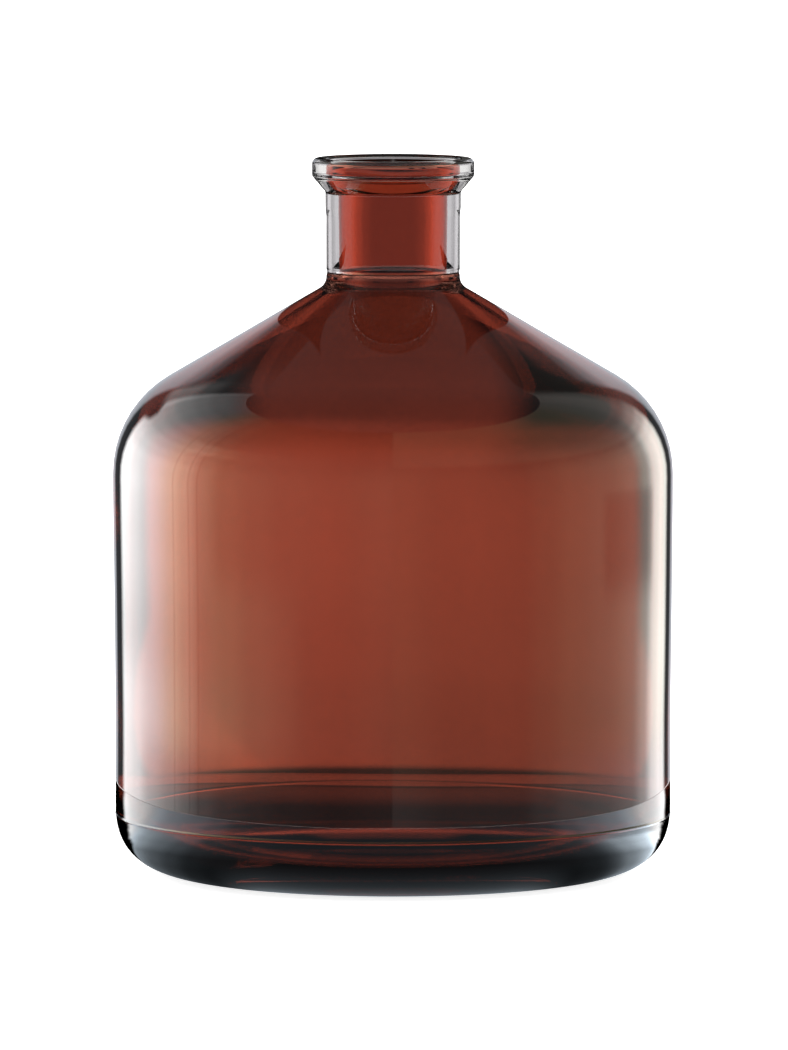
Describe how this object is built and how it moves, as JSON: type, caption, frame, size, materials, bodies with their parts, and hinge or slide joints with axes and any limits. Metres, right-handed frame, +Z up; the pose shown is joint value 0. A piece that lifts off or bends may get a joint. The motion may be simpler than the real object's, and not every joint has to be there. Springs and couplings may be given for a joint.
{
  "type": "reagent bottle",
  "caption": "Squat amber glass reagent bottle with a conical shoulder, a short wide socket neck, a flanged rim and a ring foot.",
  "frame": {"origin": "centre of the foot ring, on the plane the bottle stands on", "axes": "+Z up along the bottle's axis, from the foot to the mouth; the bottle is round, so X and Y are alike"},
  "size_m": [0.1498, 0.1498, 0.1918],
  "materials": {
    "clear_glass": "smooth, moulded",
    "amber_film": "smooth, transparent red-brown"
  },
  "bodies": {
    "root": {"bottle_glass": "clear_glass", "amber_lining": "amber_film"}
  },
  "joints": []
}
